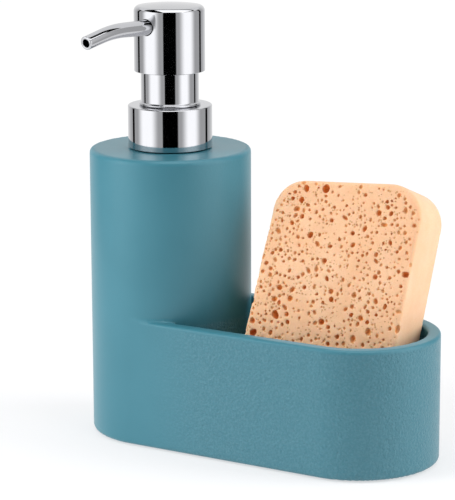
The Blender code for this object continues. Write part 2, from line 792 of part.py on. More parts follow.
def build():
    clear_scene()
    ceramic = material("ceramic", TEAL, 0.45)
    chrome = material("chrome", CHROME, 0.06, 1.0)
    plastic = material("plastic", WHITE, 0.4)
    steel = material("steel", STEEL, 0.3, 1.0)
    foam = material("foam", FOAM, 0.9)
    cellulose = material("cellulose", PEACH, 0.9)

    ceramic_body(ceramic)
    base_pad(foam)
    neck_insert(plastic)
    sponge(cellulose)

    pump = joint_empty("pump_axis")
    carry(pump, [pump_housing(plastic), housing_cap(plastic), dip_tube(plastic)])
    carry(pump, [neck_gasket(foam), ball_cage(plastic), return_spring(steel)])
    carry(joint_empty("ball_axis", pump), [inlet_ball(steel)])
    carry(joint_empty("closure_axis", pump), [closure_cap(plastic), collar_shell(chrome), sleeve(chrome)])
    rod = joint_empty("stem_axis", pump)
    carry(rod, [stem(plastic), piston_seat(plastic)])
    carry(joint_empty("piston_axis", rod), [piston(plastic)])
    carry(joint_empty("head_axis", rod), [actuator_core(plastic), head_shell(chrome), spout_tube(chrome)])


build()
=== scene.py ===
"""Looks for the counter-top liquid dispenser: ceramic casting, chromed lotion pump and cellulose sponge.

The CAD's frame is kept: origin on the pump's axis at the resting plane, +X along the trough, -Y the
front, +Z up. Lengths below are in millimetres, and MM turns them into metres.
"""

import itertools
import json
import math

import bmesh
import bpy
import numpy as np
from mathutils import Matrix, Vector


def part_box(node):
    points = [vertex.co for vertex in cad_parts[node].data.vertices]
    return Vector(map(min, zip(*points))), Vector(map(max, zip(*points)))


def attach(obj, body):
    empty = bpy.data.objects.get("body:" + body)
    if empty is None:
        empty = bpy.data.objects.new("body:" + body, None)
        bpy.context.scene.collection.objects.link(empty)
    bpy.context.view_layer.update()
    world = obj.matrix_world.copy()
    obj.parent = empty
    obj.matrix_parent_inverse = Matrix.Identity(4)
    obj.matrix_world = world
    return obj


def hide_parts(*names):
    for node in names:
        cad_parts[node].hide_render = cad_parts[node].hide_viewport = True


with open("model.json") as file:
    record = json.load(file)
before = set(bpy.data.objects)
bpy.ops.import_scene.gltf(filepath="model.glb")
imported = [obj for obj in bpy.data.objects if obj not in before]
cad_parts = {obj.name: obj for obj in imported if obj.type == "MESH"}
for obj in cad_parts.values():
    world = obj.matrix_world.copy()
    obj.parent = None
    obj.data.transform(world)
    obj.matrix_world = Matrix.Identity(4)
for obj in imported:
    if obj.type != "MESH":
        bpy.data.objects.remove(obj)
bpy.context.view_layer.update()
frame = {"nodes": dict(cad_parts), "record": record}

MM = 0.001


def box_mm(node):
    low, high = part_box(node)
    return low / MM, high / MM


# camera, as the object is seen from the front right and a little above
CAMERA_PLACE = Vector((545.0, -849.0, 304.0))
CAMERA_TARGET = Vector((28.0, 0.0, 81.0))
CAMERA_ROLL = -0.2  # degrees
CAMERA_LENS = 175.0  # mm on a 36 mm sensor

# ceramic casting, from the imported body's box where that gives it
BODY_LOW, BODY_HIGH = box_mm("ceramic_body")
UNDERSIDE = BODY_LOW.z
BOTTLE_TOP = BODY_HIGH.z
BOTTLE_R = -BODY_LOW.x
TROUGH_LENGTH = BODY_HIGH.x - BOTTLE_R
TROUGH_FLOOR = next(m for m in frame["record"]["mounts"] if m["name"] == "trough_floor")["pos_m"][2] / MM
TROUGH_RIM = 54.6
TROUGH_WALL = 5.5
FOOT_ROUND = 2.0
RIM_ROUND = 1.3
SHOULDER_ROUND = 1.9
BOTTLE_WALL = 4.7
BOTTLE_FLOOR = 6.5
BOTTLE_CEILING = 117.2
INSIDE_ROUND = 3.0
MOUTH_R = 13.6
MOUTH_ROUND = 0.5
PAD_RECESS_ROUND = 0.4
PAD_RECESS_GAP = 0.4
PAD_CLEARANCE = 0.3
GLAZE_FILLET = 1.0  # where the glaze pools between bottle and trough
PAD_THICKNESS = 1.5
PAD_INSET = 5.0
CASTING_STEP = 1.2

# chromed parts
COLLAR_LOW, COLLAR_HIGH = box_mm("collar_shell")
COLLAR_R = COLLAR_HIGH.x
COLLAR_WALL = 0.9
COLLAR_ROUND = 0.6
COLLAR_HOLE_R = 11.4
SLEEVE_HIGH = box_mm("sleeve")[1]
BEAD_R = SLEEVE_HIGH.x
SLEEVE_R = 12.15
SLEEVE_WALL = 0.7
BEAD_HEIGHT = 1.2
COVE_R = 0.6  # of the hollow above the bead
SLEEVE_LIFT = 0.02  # above the collar's top
RIM_CHAMFER = 0.15  # on the collar's and head's lower edges
HEAD_LOW, HEAD_HIGH = box_mm("head_shell")
HEAD_R = HEAD_HIGH.x
HEAD_WALL = 0.9
HEAD_ROUND = 2.4
HEAD_ROUND_SWEEP = 68.0  # degrees of the edge round before the dome takes over
HEAD_ROUND_CENTRE = 179.9
CORE_TOP = box_mm("actuator_core")[1].z
SPOUT_AZIMUTH = 8.0  # degrees from -Y towards -X
SPOUT_START = 6.3
SPOUT_HEIGHT = 174.3
SPOUT_RISE = 1.7
SPOUT_DROOP = 11.5
SPOUT_BEND_AT = 35.5
SPOUT_BEND_R = 60.0
SPOUT_END_LENGTH = 16.2
SPOUT_ROOT_R = 3.36
SPOUT_TIP_R = 2.84
SPOUT_BORE_R = 1.75
SPOUT_LIP = 0.35
SPOUT_CLEARANCE = 0.17
AROUND = 160
SPOUT_SIDES = 48

# sponge
SPONGE_WIDTH = 65.7
SPONGE_HEIGHT = 101.0
SPONGE_THICKNESS = 29.4
SPONGE_CENTRE = Vector((78.6, 4.85, 62.0))
SPONGE_TILT = (-18.7, 5.1, 6.9)  # degrees backward, sideways and about Z
SPONGE_TOP_SKEW = 7.3
SPONGE_TAPER = 0.02
SPONGE_CORNER_R = 14.0
SPONGE_EDGE_ROUND = 2.2
SPONGE_STEP = 0.36
SPONGE_FACES = 190_000
# pores: how many, smallest and largest radius
PORE_SIZES = ((22, 1.2, 1.6), (120, 0.85, 1.2), (560, 0.58, 0.88), (1500, 0.42, 0.62), (1200, 0.34, 0.44))
PORE_GAP = 0.25
FACE_SINK = 0.3  # how far the cut face lies inside the block's half thickness
SEED = 7

# studio: azimuths in degrees from the camera's side, positive to its right
AMBIENT = 0.24
FLOOR_CENTRE = 45.0
FLOOR_FADE = (110.0, 300.0)  # distances between which the floor turns from paper to plain glow
FLOOR_GLOW = 0.56  # of the paper near the object
FLOOR_REACH = 6000.0
DRUM_R = 430.0
DRUM_HEIGHT = 420.0
SURROUND = 0.55  # radiance of the drum away from its soft boxes
SOFT_BOXES = (  # azimuth, half width, falloff, extra radiance
    (-65.0, 11.0, 24.0, 1.15),
    (60.0, 8.0, 24.0, 1.15),
    (180.0, 20.0, 45.0, 0.35),
)
FLAGS = ((0.5, 20.0), (-117.0, 4.5), (116.0, 4.5))  # azimuth, half width of the black strips
FLAG_EDGE = 1.5
LIGHTS = (  # name, azimuth, elevation, distance, size, power
    ("light_left", -75.0, 20.0, 900.0, (450.0, 900.0), 8.0),
    ("light_right_front", 40.0, 20.0, 900.0, (350.0, 900.0), 1.0),
    ("light_right", 80.0, 20.0, 900.0, (450.0, 900.0), 6.0),
    ("light_top", 0.0, 89.0, 1100.0, (1200.0, 1200.0), 5.5),
)


# ---- nodes -----------------------------------------------------------------------------------------


def add_node(tree, kind, inputs=None, **settings):
    """A shader node; an input takes a value or another node's socket."""
    made = tree.nodes.new(kind)
    for key, value in settings.items():
        setattr(made, key, value)
    for key, value in (inputs or {}).items():
        if isinstance(value, bpy.types.NodeSocket):
            tree.links.new(value, made.inputs[key])
        else:
            made.inputs[key].default_value = value
    return made


def surface(name, **fixed):
    """A new material with its shader's fixed values, and the tree, shader and object coordinates."""
    mat = bpy.data.materials.new(name)
    mat.use_nodes = True
    tree = mat.node_tree
    shader = tree.nodes["Principled BSDF"]
    for key, value in fixed.items():
        shader.inputs[key.replace("_", " ")].default_value = value
    place = add_node(tree, "ShaderNodeTexCoord").outputs["Object"]
    return mat, tree, shader, place


def noise(tree, place, size_mm, detail=2.0, roughness=0.5):
    """Noise whose grain is about size_mm across."""
    inputs = {"Vector": place, "Scale": 1.0 / (size_mm * MM), "Detail": detail, "Roughness": roughness}
    return add_node(tree, "ShaderNodeTexNoise", inputs).outputs["Fac"]


def cells(tree, place, size_mm):
    """Distance to the nearest of scattered points about size_mm apart."""
    inputs = {"Vector": place, "Scale": 1.0 / (size_mm * MM)}
    return add_node(tree, "ShaderNodeTexVoronoi", inputs).outputs["Distance"]


def spread(tree, value, low, high, to_low, to_high):
    """Maps low..high to to_low..to_high, smoothly and clamped."""
    inputs = {"Value": value, "From Min": low, "From Max": high, "To Min": to_low, "To Max": to_high}
    return add_node(tree, "ShaderNodeMapRange", inputs, interpolation_type="SMOOTHSTEP").outputs["Result"]


def maths(tree, operation, a, b=0.0):
    made = add_node(tree, "ShaderNodeMath", operation=operation)
    for socket, value in zip(made.inputs, (a, b)):
        if isinstance(value, bpy.types.NodeSocket):
            tree.links.new(value, socket)
        else:
            socket.default_value = value
    return made.outputs["Value"]


def tint(tree, share, first, second):
    """A colour between two, by share."""
    made = add_node(tree, "ShaderNodeMix", data_type="RGBA")
    for socket, value in ((made.inputs[0], share), (made.inputs[6], first), (made.inputs[7], second)):
        if isinstance(value, bpy.types.NodeSocket):
            tree.links.new(value, socket)
        else:
            socket.default_value = (*value, 1.0)
    return made.outputs[2]


def bump(tree, height, depth_mm, strength=1.0, below=None):
    inputs = {"Height": height, "Distance": depth_mm * MM, "Strength": strength}
    if below is not None:
        inputs["Normal"] = below
    return add_node(tree, "ShaderNodeBump", inputs).outputs["Normal"]


def plug(tree, shader, **sockets):
    for key, socket in sockets.items():
        tree.links.new(socket, shader.inputs[key.replace("_", " ")])


# ---- materials -------------------------------------------------------------------------------------


def ceramic_material():
    """Satin teal glaze: smooth on the bottle, finely pebbled on the trough."""
    mat, tree, shader, place = surface("teal_glaze", IOR=1.5)
    mottle = noise(tree, place, 30.0, 3.0)
    speck = noise(tree, place, 0.9, 1.0)
    axes = add_node(tree, "ShaderNodeSeparateXYZ", {"Vector": place}).outputs
    along = spread(tree, axes["X"], 2.0 * MM, 42.0 * MM, 0.0, 1.0)
    below_rim = spread(tree, axes["Z"], (TROUGH_RIM - 2.5) * MM, (TROUGH_RIM - 0.5) * MM, 1.0, 0.12)
    pebbled = maths(tree, "MULTIPLY", along, below_rim)
    cloudy = spread(tree, mottle, 0.3, 0.7, 0.0, 1.0)
    smooth = tint(tree, cloudy, (0.041, 0.190, 0.247), (0.046, 0.202, 0.262))
    matt = tint(tree, spread(tree, speck, 0.35, 0.75, 0.0, 0.6), (0.048, 0.186, 0.240), (0.082, 0.238, 0.296))
    colour = tint(tree, pebbled, smooth, matt)
    pebble = noise(tree, place, 1.05, 3.0, 0.55)
    grain = noise(tree, place, 0.35, 2.0)
    level = bump(tree, grain, 0.006, 0.5)
    raised = bump(tree, pebble, 0.6, maths(tree, "MULTIPLY", pebbled, 0.9), level)
    gloss = spread(tree, mottle, 0.3, 0.7, 0.29, 0.33)
    rough = maths(tree, "ADD", gloss, maths(tree, "MULTIPLY", grain, 0.05))
    plug(tree, shader, Base_Color=colour, Roughness=rough, Normal=raised)
    return mat


def chrome_material():
    """Bright plating with the faint unevenness of polished metal."""
    mat, tree, shader, place = surface("bright_chrome", Metallic=1.0)
    cloud = noise(tree, place, 9.0, 3.0)
    fine = noise(tree, place, 0.5, 2.0)
    colour = tint(tree, cloud, (0.545, 0.55, 0.575), (0.575, 0.58, 0.60))
    gloss = spread(tree, cloud, 0.3, 0.7, 0.03, 0.055)
    rough = maths(tree, "ADD", gloss, maths(tree, "MULTIPLY", fine, 0.02))
    plug(tree, shader, Base_Color=colour, Roughness=rough, Normal=bump(tree, cloud, 0.004, 0.4))
    return mat


def plastic_material(name, dark, light, roughness):
    """Moulded plastic: flow marks, a spark-eroded grain and uneven gloss."""
    mat, tree, shader, place = surface(name, IOR=1.49)
    flow = noise(tree, place, 7.0, 2.0)
    grain = noise(tree, place, 0.25, 2.0)
    sheen = spread(tree, flow, 0.3, 0.7, roughness, roughness + 0.08)
    rough = maths(tree, "ADD", sheen, maths(tree, "MULTIPLY", grain, 0.08))
    normal = bump(tree, grain, 0.012, 0.5)
    plug(tree, shader, Base_Color=tint(tree, flow, dark, light), Roughness=rough, Normal=normal)
    return mat


def tube_material():
    """Cloudy polyethylene with drawing lines along the tube."""
    mat, tree, shader, place = surface("cloudy_polyethylene", IOR=1.5, Transmission_Weight=0.45)
    stretched = add_node(tree, "ShaderNodeMapping", {"Vector": place, "Scale": (1.0, 1.0, 0.04)}).outputs[0]
    lines = noise(tree, stretched, 0.5, 2.0)
    cloud = noise(tree, place, 5.0, 2.0)
    rough = spread(tree, lines, 0.3, 0.7, 0.22, 0.4)
    colour = tint(tree, cloud, (0.78, 0.80, 0.80), (0.88, 0.89, 0.88))
    plug(tree, shader, Base_Color=colour, Roughness=rough, Normal=bump(tree, lines, 0.01, 0.6))
    return mat


def steel_material():
    """Drawn stainless wire and ground balls."""
    mat, tree, shader, place = surface("stainless_steel", Metallic=1.0)
    draw = noise(tree, place, 0.3, 3.0)
    colour = tint(tree, draw, (0.50, 0.50, 0.51), (0.62, 0.62, 0.63))
    rough = spread(tree, draw, 0.3, 0.7, 0.16, 0.32)
    plug(tree, shader, Base_Color=colour, Roughness=rough, Normal=bump(tree, draw, 0.006, 0.5))
    return mat


def foam_material(name, skin, pit_shade, cell_mm):
    """Closed-cell foam: small round cells in a soft skin, the cells' pits darkened by painted shade."""
    mat, tree, shader, place = surface(name, Sheen_Weight=0.2, Sheen_Roughness=0.6)
    cell = cells(tree, place, cell_mm)
    pit = spread(tree, cell, 0.15, 0.55, 0.0, 1.0)
    # painted shade: the colour darkens towards each cell's pit
    colour = tint(tree, pit, pit_shade, skin)
    rough = spread(tree, cell, 0.1, 0.6, 0.75, 0.95)
    plug(tree, shader, Base_Color=colour, Roughness=rough, Normal=bump(tree, pit, 0.12, 0.7))
    return mat


def sponge_material():
    """Peach cellulose: pale skin, pores that turn deep orange with depth by painted shade and painted bounced
    light, and specks too small to model, darkened by painted shade.
    """
    fixed = {"Subsurface_Weight": 0.25, "Subsurface_Scale": 0.004, "Sheen_Weight": 0.15, "IOR": 1.4}
    mat, tree, shader, place = surface("peach_cellulose", **fixed)
    shader.inputs["Subsurface Radius"].default_value = (1.0, 0.45, 0.2)
    depth = add_node(tree, "ShaderNodeAttribute", attribute_name="depth").outputs["Fac"]
    porous = add_node(tree, "ShaderNodeAttribute", attribute_name="porous").outputs["Fac"]
    cloud = noise(tree, place, 14.0, 3.0)
    fibre = noise(tree, place, 0.6, 3.0, 0.65)
    pale = tint(tree, spread(tree, cloud, 0.3, 0.7, 0.0, 1.0), (0.85, 0.505, 0.295), (0.88, 0.56, 0.35))
    streak = maths(tree, "MULTIPLY", spread(tree, fibre, 0.35, 0.65, 1.0, 0.0), 0.3)
    skin = tint(tree, streak, pale, (0.74, 0.39, 0.19))
    speck_size = noise(tree, place, 3.5, 2.0)
    speck = cells(tree, place, 1.25)
    radius = spread(tree, speck_size, 0.35, 0.7, 0.05, 0.42)
    within = spread(tree, maths(tree, "SUBTRACT", radius, speck), -0.03, 0.1, 0.0, 1.0)
    dot = maths(tree, "MULTIPLY", within, porous)
    # painted shade: the specks stand for pores too small to model and are darkened as if in shade
    speck_shaded = tint(tree, dot, skin, (0.60, 0.31, 0.14))
    # painted shade and painted bounced light: deep in the pores the colour turns darker, richer orange
    deep_pore_shade = tint(tree, spread(tree, cloud, 0.35, 0.65, 0.0, 1.0), (0.80, 0.29, 0.05), (0.64, 0.17, 0.025))
    # painted shade just inside the pores' rims
    shallow_pore_shade = tint(tree, spread(tree, depth, 0.1, 0.35, 0.0, 1.0), speck_shaded, (0.72, 0.36, 0.15))
    # the colour darkens with depth below the surface: painted shade
    colour = tint(tree, spread(tree, depth, 0.5, 1.7, 0.0, 1.0), shallow_pore_shade, deep_pore_shade)
    grain = bump(tree, fibre, 0.15, 0.4)
    normal = bump(tree, maths(tree, "SUBTRACT", 1.0, dot), 0.3, 0.6, grain)
    rough = spread(tree, fibre, 0.3, 0.7, 0.78, 0.95)
    plug(tree, shader, Base_Color=colour, Roughness=rough, Normal=normal)
    return mat


def floor_material():
    """Pale paper that takes faint shadows near the object and glows evenly further off."""
    mat, tree, shader, place = surface("pale_floor", Roughness=0.9)
    shader.inputs["Specular IOR Level"].default_value = 0.1
    shader.inputs["Emission Color"].default_value = (1.0, 1.0, 1.0, 1.0)
    offset = add_node(tree, "ShaderNodeVectorMath", {0: place, 1: (-FLOOR_CENTRE * MM, 0.0, 0.0)}).outputs[0]
    away = add_node(tree, "ShaderNodeVectorMath", {0: offset}, operation="LENGTH").outputs["Value"]
    near, far = FLOOR_FADE
    share = spread(tree, away, near * MM, far * MM, 0.0, 1.0)
    glow = spread(tree, away, near * MM, far * MM, FLOOR_GLOW, 1.0)
    cloud = noise(tree, place, 200.0, 2.0)
    paper = tint(tree, cloud, (0.41, 0.41, 0.42), (0.42, 0.42, 0.43))
    plug(tree, shader, Base_Color=tint(tree, share, paper, (0.0, 0.0, 0.0)), Emission_Strength=glow)
    return mat


# ---- shapes by signed distance ---------------------------------------------------------------------


def round_max(a, b, radius):
    """Intersection of two distances with a rounded edge."""
    corner = np.hypot(np.maximum(a + radius, 0.0), np.maximum(b + radius, 0.0))
    return np.minimum(-radius, np.maximum(a, b)) + corner


def round_min(a, b, radius):
    """Union of two distances with a fillet."""
    return -round_max(-a, -b, radius)


def prism(side, z, low, high, round_low=0.0, round_high=0.0):
    """An upright prism from its outline's distance, with rounded end edges."""
    middle = (low + high) / 2
    radius = np.where(z < middle, round_low, round_high)
    return round_max(side, np.abs(z - middle) - (high - low) / 2, radius)


def casting_distance(points):
    """The casting: a stadium-shaped foot, a trough in it, and a bottle over its left end."""
    x, y, z = points.T
    beyond = 100.0
    along = np.hypot(x - np.clip(x, 0.0, TROUGH_LENGTH), y)
    across = np.hypot(x, y)
    footprint = prism(along - BOTTLE_R, z, UNDERSIDE, BOTTLE_TOP + beyond, FOOT_ROUND)
    block = round_max(along - BOTTLE_R, z - TROUGH_RIM, RIM_ROUND)
    hollow = prism(along - (BOTTLE_R - TROUGH_WALL), z, TROUGH_FLOOR, BOTTLE_TOP + beyond, INSIDE_ROUND)
    trough = round_max(block, -hollow, RIM_ROUND)
    bottle = prism(across - BOTTLE_R, z, UNDERSIDE - beyond, BOTTLE_TOP, 0.0, SHOULDER_ROUND)
    solid = np.maximum(footprint, round_min(bottle, trough, GLAZE_FILLET))
    inner_r = BOTTLE_R - BOTTLE_WALL
    inside = prism(across - inner_r, z, BOTTLE_FLOOR, BOTTLE_CEILING, INSIDE_ROUND, INSIDE_ROUND)
    mouth = prism(across - MOUTH_R, z, BOTTLE_CEILING - 4.0, BOTTLE_TOP + beyond)
    solid = round_max(solid, -np.minimum(inside, mouth), MOUTH_ROUND)
    recess_side = along - (BOTTLE_R - PAD_INSET + PAD_RECESS_GAP)
    recess = prism(recess_side, z, UNDERSIDE - beyond, PAD_THICKNESS + PAD_CLEARANCE)
    return round_max(solid, -recess, PAD_RECESS_ROUND)


def gradient(distance, points, reach=0.02):
    columns = []
    for axis in np.eye(3) * reach:
        columns.append((distance(points + axis) - distance(points - axis)) / (2 * reach))
    return np.stack(columns, 1)


def settle(distance, points, rounds=3):
    """Moves points onto the zero level, and returns them with their unit normals."""
    for _ in range(rounds):
        slope = gradient(distance, points)
        points = points - (distance(points) / np.maximum((slope**2).sum(1), 0.25))[:, None] * slope
    slope = gradient(distance, points)
    return points, slope / np.linalg.norm(slope, axis=1, keepdims=True)


def surface_net(values, origin, step):
    """Points and quads of a grid's zero level: one point in each cell that it crosses."""
    inside = values < 0
    shape = np.array(values.shape) - 1
    corners = np.array(list(itertools.product((0, 1), repeat=3)))
    count = np.zeros(shape, int)
    for i, j, k in corners:
        count += inside[i : i + shape[0], j : j + shape[1], k : k + shape[2]]
    crossed = np.argwhere((count > 0) & (count < 8))
    index = np.full(shape, -1)
    index[tuple(crossed.T)] = np.arange(len(crossed))
    total = np.zeros((len(crossed), 3))
    hits = np.zeros(len(crossed))
    for a, b in itertools.combinations(corners, 2):
        if np.abs(a - b).sum() != 1:
            continue
        low = values[tuple((crossed + a).T)]
        high = values[tuple((crossed + b).T)]
        cut = (low < 0) != (high < 0)
        share = np.where(cut, low / np.where(cut, low - high, 1.0), 0.0)
        total += np.where(cut[:, None], a + share[:, None] * (b - a), 0.0)
        hits += cut
    points = origin + step * (crossed + total / hits[:, None])
    quads = []
    for axis in range(3):
        u, v = (np.eye(3, dtype=int)[(axis + n) % 3] for n in (1, 2))
        ahead = np.eye(3, dtype=int)[axis]
        low = inside[tuple(slice(1 - ahead[n], shape[n]) for n in range(3))]
        high = inside[tuple(slice(1, shape[n] + ahead[n]) for n in range(3))]
        for leaving in (True, False):
            edge = np.argwhere((low == leaving) & (high != leaving)) + 1 - ahead
            ring = [edge, edge - u, edge - u - v, edge - v]
            if not leaving:
                ring.reverse()
            quads.append(np.stack([index[tuple(cell.T)] for cell in ring], 1))
    return points, np.concatenate(quads)


def sample(distance, low, high, step):
    """A grid of distances from low to high, one layer at a time."""
    axes = [np.arange(a - 2 * step, b + 3 * step, step) for a, b in zip(low, high)]
    y, z = np.meshgrid(axes[1], axes[2], indexing="ij")
    layers = []
    for x in axes[0]:
        points = np.stack([np.full(y.size, x), y.ravel(), z.ravel()], 1)
        layers.append(distance(points).reshape(y.shape))
    return np.stack(layers), np.array([axis[0] for axis in axes])


# ---- meshes ----------------------------------------------------------------------------------------


def new_object(name, mesh, mat):
    obj = bpy.data.objects.new(name, mesh)
    bpy.context.scene.collection.objects.link(obj)
    obj.data.materials.clear()
    obj.data.materials.append(mat)
    return obj


def mesh_from(name, points, faces, mat):
    mesh = bpy.data.meshes.new(name)
    mesh.from_pydata((np.asarray(points) * MM).tolist(), [], np.asarray(faces).tolist())
    mesh.validate()
    mesh.shade_smooth()
    return new_object(name, mesh, mat)


def evaluated(obj):
    """Puts the object's modifiers into its mesh."""
    graph = bpy.context.evaluated_depsgraph_get()
    mesh = bpy.data.meshes.new_from_object(obj.evaluated_get(graph))
    obj.modifiers.clear()
    obj.data = mesh
    return obj


def sharpen(obj, degrees=35.0):
    obj.data.shade_smooth()
    obj.data.set_sharp_from_angle(angle=math.radians(degrees))
    return obj


def arc(centre_r, centre_z, radius, start, end, steps=10):
    angles = np.radians(np.linspace(start, end, steps + 1))
    return [(centre_r + radius * math.cos(a), centre_z + radius * math.sin(a)) for a in angles]


def with_support(profile, reach=0.12):
    """Adds points close to the ends of long straight runs, so that reflections stay straight there."""
    points = []
    for a, b in zip(profile, profile[1:] + profile[:1]):
        points.append(a)
        length = math.dist(a, b)
        if length > 1.0:
            for share in (reach / length, 1 - reach / length):
                points.append((a[0] + (b[0] - a[0]) * share, a[1] + (b[1] - a[1]) * share))
    return points


def turned(name, profile, mat):
    """A closed ring profile of (radius, height) points turned about the pump's axis."""
    profile = with_support(profile)
    angles = 2 * math.pi * np.arange(AROUND) / AROUND
    points = [(r * math.cos(a), r * math.sin(a), z) for a in angles for r, z in profile]
    n = len(profile)
    faces = []
    for i in range(AROUND):
        here, there = i * n, (i + 1) % AROUND * n
        for k in range(n):
            m = (k + 1) % n
            faces.append((here + k, there + k, there + m, here + m))
    return sharpen(mesh_from(name, points, faces, mat))


def cut(obj, tool):
    modifier = obj.modifiers.new("cut", "BOOLEAN")
    modifier.operation = "DIFFERENCE"
    modifier.solver = "EXACT"
    modifier.object = tool
    evaluated(obj)
    bpy.data.objects.remove(tool)
    return sharpen(obj)


# ---- pieces ----------------------------------------------------------------------------------------


def make_casting(mat):
    """The ceramic casting, fine and fully rounded."""
    values, origin = sample(casting_distance, BODY_LOW, BODY_HIGH, CASTING_STEP)
    points, faces = surface_net(values, origin, CASTING_STEP)
    points, normals = settle(casting_distance, points)
    obj = mesh_from("ceramic_casting", points, faces, mat)
    obj.data.normals_split_custom_set_from_vertices(normals.tolist())
    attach(obj, "root")
    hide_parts("ceramic_body")


def make_pad(mat):
    """The anti-slip pad, its edges softened."""
    radius = BOTTLE_R - PAD_INSET
    outline = []
    for centre_x, start in ((TROUGH_LENGTH, -90.0), (0.0, 90.0)):
        for a in np.radians(np.linspace(start, start + 180.0, 49)):
            outline.append((centre_x, math.cos(a), math.sin(a)))
    edge = [(-0.4, 0.0), (-0.12, 0.12), (0.0, 0.4), (0.0, PAD_THICKNESS - 0.4), (-0.4, PAD_THICKNESS)]
    points = [(cx + (radius + d) * c, (radius + d) * s, z) for d, z in edge for cx, c, s in outline]
    n = len(outline)
    faces = [list(range(n))[::-1], list(range((len(edge) - 1) * n, len(edge) * n))]
    mesh = bpy.data.meshes.new("anti_slip_pad")
    for row in range(len(edge) - 1):
        for i in range(n):
            j = (i + 1) % n
            faces.append([row * n + i, row * n + j, (row + 1) * n + j, (row + 1) * n + i])
    mesh.from_pydata((np.array(points) * MM).tolist(), [], faces)
    obj = sharpen(new_object("anti_slip_pad", mesh, mat))
    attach(obj, "root")
    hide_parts("base_pad")


def rim_edge(inner_r, outer_r, low):
    """A shell's lower edge, chamfered inside and out."""
    c = RIM_CHAMFER
    return [(inner_r, low + c), (inner_r + c, low), (outer_r - c, low), (outer_r, low + c)]


def make_collar(mat):
    inner_r = COLLAR_R - COLLAR_WALL
    top, low = COLLAR_HIGH.z, COLLAR_LOW.z
    profile = rim_edge(inner_r, COLLAR_R, low)
    profile += arc(COLLAR_R - COLLAR_ROUND, top - COLLAR_ROUND, COLLAR_ROUND, 0, 90)
    profile += [(COLLAR_HOLE_R + 0.1, top), (COLLAR_HOLE_R, top - 0.1), (COLLAR_HOLE_R, top - COLLAR_WALL)]
    profile += [(inner_r, top - COLLAR_WALL)]
    obj = turned("chrome_collar", profile[::-1], mat)
    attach(obj, "closure")
    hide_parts("collar_shell")


def make_sleeve(mat):
    low, top = COLLAR_HIGH.z + SLEEVE_LIFT, SLEEVE_HIGH.z
    inner_r = SLEEVE_R - SLEEVE_WALL
    half = BEAD_HEIGHT / 2
    profile = [(inner_r, low), (BEAD_R - half, low)]
    profile += arc(BEAD_R - half, low + half, half, -80, 70, 12)
    profile += arc(SLEEVE_R + COVE_R, low + BEAD_HEIGHT + 0.55, COVE_R, 250, 180, 6)
    profile += arc(SLEEVE_R - 0.2, top - 0.2, 0.2, 0, 90, 4) + [(inner_r, top)]
    obj = turned("chrome_sleeve", profile[::-1], mat)
    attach(obj, "closure")
    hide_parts("sleeve")


def spout_matrix():
    """Turns a point of (distance from the axis, across, height) to the spout's azimuth."""
    return np.array(Matrix.Rotation(math.radians(-90 - SPOUT_AZIMUTH), 3, "Z"))


def spout_line():
    """Points and slopes of the spout's centre line: a straight root, a bend and a straight end."""
    rise, droop = math.radians(SPOUT_RISE), math.radians(-SPOUT_DROOP)
    corner_z = SPOUT_HEIGHT + math.tan(rise) * (SPOUT_BEND_AT - HEAD_R)
    tangent = SPOUT_BEND_R * math.tan((rise - droop) / 2)
    bend_start = Vector((SPOUT_BEND_AT - tangent * math.cos(rise), corner_z - tangent * math.sin(rise)))
    centre = bend_start + SPOUT_BEND_R * Vector((math.sin(rise), -math.cos(rise)))
    start = Vector((SPOUT_START, SPOUT_HEIGHT + math.tan(rise) * (SPOUT_START - HEAD_R)))
    line = [(start.lerp(bend_start, i / 12), rise) for i in range(12)]
    for slope in np.linspace(rise, droop, 15):
        line.append((centre + SPOUT_BEND_R * Vector((-math.sin(slope), math.cos(slope))), slope))
    end = Vector((SPOUT_BEND_AT, corner_z)) + SPOUT_END_LENGTH * Vector((math.cos(droop), math.sin(droop)))
    last = line[-1][0]
    line += [(last.lerp(end, i / 10), droop) for i in range(1, 11)]
    return line


def make_spout(mat):
    """Bent tube that thins towards a slightly rounded open lip."""
    line = spout_line()
    gaps = [(b[0] - a[0]).length for a, b in zip(line, line[1:])]
    travelled = np.concatenate([[0.0], np.cumsum(gaps)])
    rings = []
    for (point, slope), length in zip(line[:-1], travelled):
        share = length / travelled[-1]
        rings.append((point, slope, SPOUT_ROOT_R + (SPOUT_TIP_R - SPOUT_ROOT_R) * share))
    tip, slope = line[-1]
    forward = Vector((math.cos(slope), math.sin(slope)))
    for a in np.radians(np.linspace(0, 90, 6)):
        back = SPOUT_LIP * (1 - math.sin(a))
        rings.append((tip - forward * back, slope, SPOUT_TIP_R - SPOUT_LIP * (1 - math.cos(a))))
    lip = SPOUT_LIP / 2
    for a in np.radians(np.linspace(90, 0, 5)):
        rings.append((tip - forward * lip * (1 - math.sin(a)), slope, SPOUT_BORE_R + lip * (1 - math.cos(a))))
    rings += [(point, slope, SPOUT_BORE_R) for point, slope in line[-2::-1]]
    turn = spout_matrix()
    points = []
    for point, slope, radius in rings:
        for k in range(SPOUT_SIDES):
            a = 2 * math.pi * k / SPOUT_SIDES
            up, side = radius * math.cos(a), radius * math.sin(a)
            place = (point.x - math.sin(slope) * up, side, point.y + math.cos(slope) * up)
            points.append(turn @ np.array(place))
    faces = []
    for i in range(len(rings)):
        here, there = i * SPOUT_SIDES, (i + 1) % len(rings) * SPOUT_SIDES
        for k in range(SPOUT_SIDES):
            m = (k + 1) % SPOUT_SIDES
            faces.append((here + k, here + m, there + m, there + k))
    obj = sharpen(mesh_from("chrome_spout", points, faces, mat), 50.0)
    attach(obj, "head")
    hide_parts("spout_tube")


